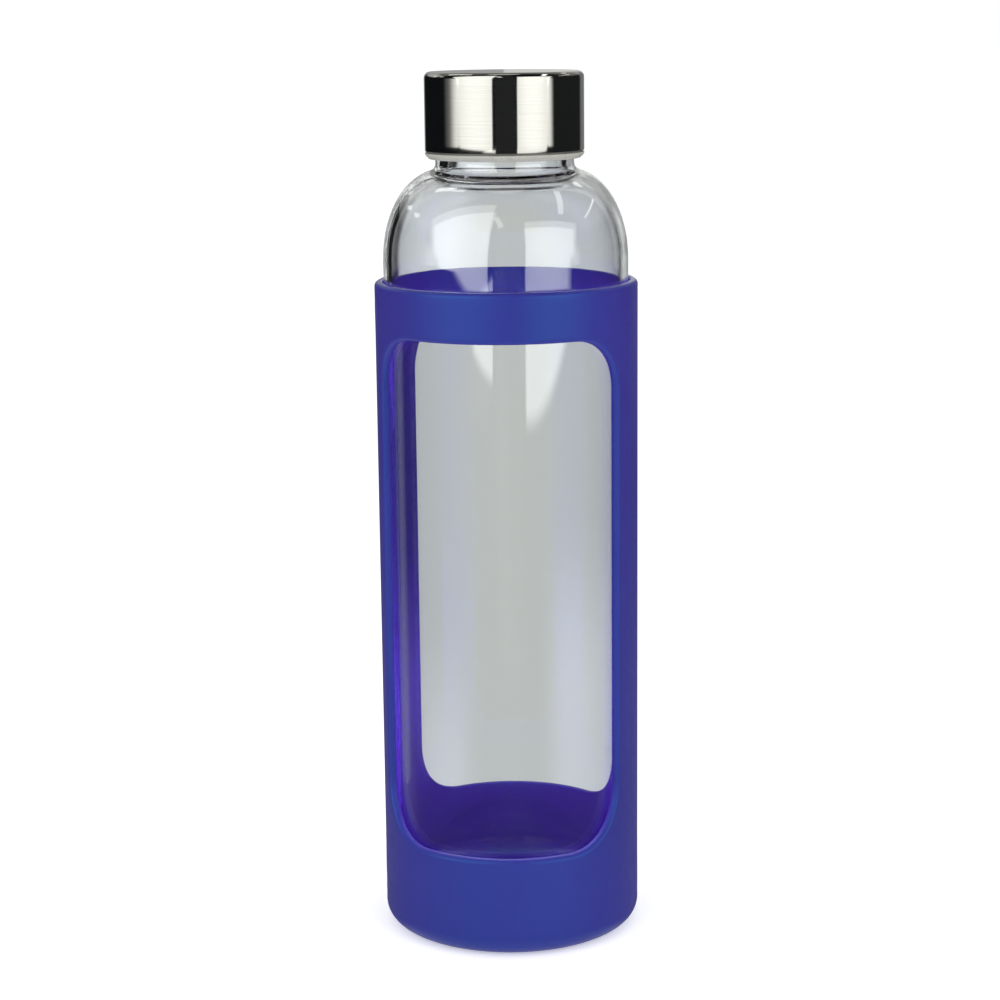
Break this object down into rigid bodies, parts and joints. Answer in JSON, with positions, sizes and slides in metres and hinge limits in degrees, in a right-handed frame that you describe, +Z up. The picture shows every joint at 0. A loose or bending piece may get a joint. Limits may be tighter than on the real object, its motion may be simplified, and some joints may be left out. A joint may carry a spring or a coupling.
{
  "type": "glass water bottle",
  "caption": "Clear glass drinking bottle standing in a windowed silicone sleeve, closed by a brushed steel screw cap with a plastic thread insert.",
  "frame": {"origin": "centre of the sleeve's underside, on the surface the bottle stands on", "axes": "+Z up along the bottle's axis; the two sleeve windows face -Y (front) and +Y (back)"},
  "size_m": [0.065, 0.065, 0.2154],
  "materials": {
    "clear_glass": "polished clear borosilicate",
    "silicone_blue": "matte moulded silicone",
    "steel_brushed": "brushed round the side, satin top",
    "liner_plastic": "moulded satin",
    "gasket_silicone": "matte silicone"
  },
  "bodies": {
    "sleeve": {"silicone_sleeve": "silicone_blue"},
    "bottle": {"glass_bottle": "clear_glass"},
    "cap_seal": {"cap_gasket": "gasket_silicone"},
    "cap": {"cap_shell": "steel_brushed", "cap_liner": "liner_plastic"}
  },
  "joints": [
    {"name": "bottle_lift", "type": "slide", "parent": "sleeve", "child": "bottle", "axis": [0, 0, 1], "range_m": [0, 0.17]},
    {"name": "cap_lift", "type": "slide", "parent": "bottle", "child": "cap_seal", "axis": [0, 0, 1], "range_m": [0, 0.02401]},
    {"name": "cap_turn", "type": "hinge", "parent": "cap_seal", "child": "cap", "pos_m": [0, 0, 0.19445], "axis": [0, 0, 1], "range_deg": [0, 1080]}
  ],
  "couplings": [
    {"joint": "cap_lift", "follows": "cap_turn", "m_per_rad": 0.0012732}
  ]
}
